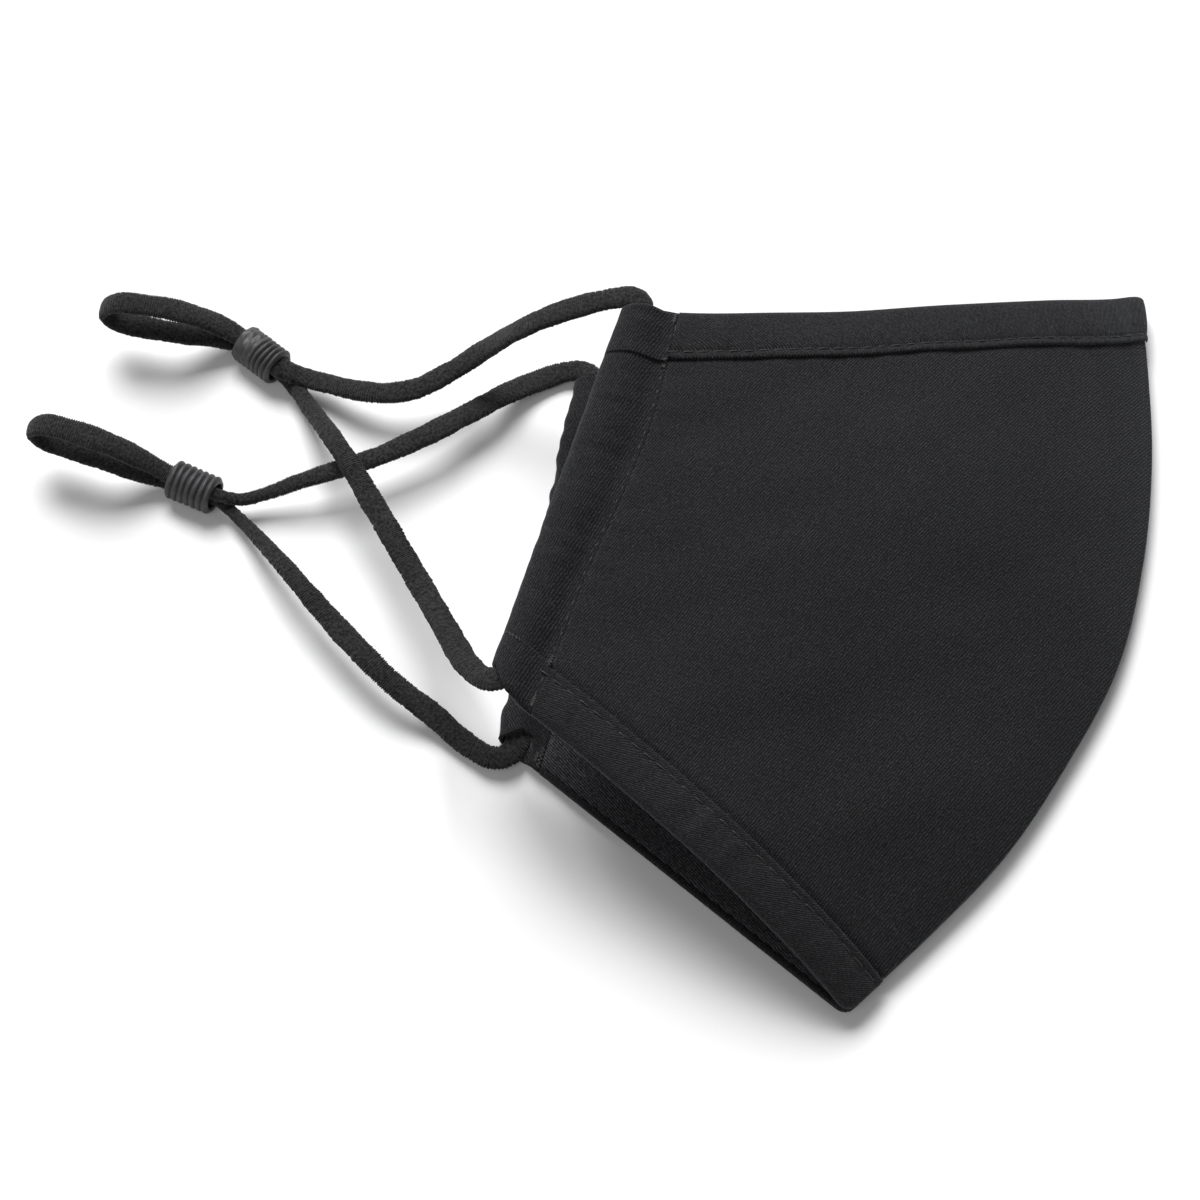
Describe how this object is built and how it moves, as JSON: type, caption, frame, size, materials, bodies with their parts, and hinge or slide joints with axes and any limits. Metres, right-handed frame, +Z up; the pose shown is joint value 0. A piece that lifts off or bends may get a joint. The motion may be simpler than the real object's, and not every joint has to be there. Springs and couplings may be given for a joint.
{
  "type": "cloth face mask",
  "caption": "Reusable cloth face mask folded in half along its curved centre seam and lying on its side, with hemmed edges, hollow side casings, elastic ear cords and adjuster beads.",
  "frame": {"origin": "on the surface that the mask lies on, under the middle of the cloth body's box, the cords and beads not counted", "axes": "+Z up; +Y from the chin tip towards the nose corner; +X from the ear edges towards the centre seam; the cords lie out towards -X"},
  "size_m": [0.2179, 0.1508, 0.0365],
  "materials": {
    "twill_cloth": "matt black fine cotton twill",
    "knit_elastic": "matt black knitted flat elastic",
    "ribbed_rubber": "satin dark grey ribbed rubber"
  },
  "bodies": {
    "root": {"near_panel": "twill_cloth", "near_top_hem": "twill_cloth", "near_chin_hem": "twill_cloth", "near_side_casing": "twill_cloth", "far_panel": "twill_cloth", "far_top_hem": "twill_cloth", "far_chin_hem": "twill_cloth", "far_side_casing": "twill_cloth", "near_ear_cord": "knit_elastic", "far_ear_cord": "knit_elastic", "near_cord_bead": "ribbed_rubber", "far_cord_bead": "ribbed_rubber"}
  },
  "joints": []
}
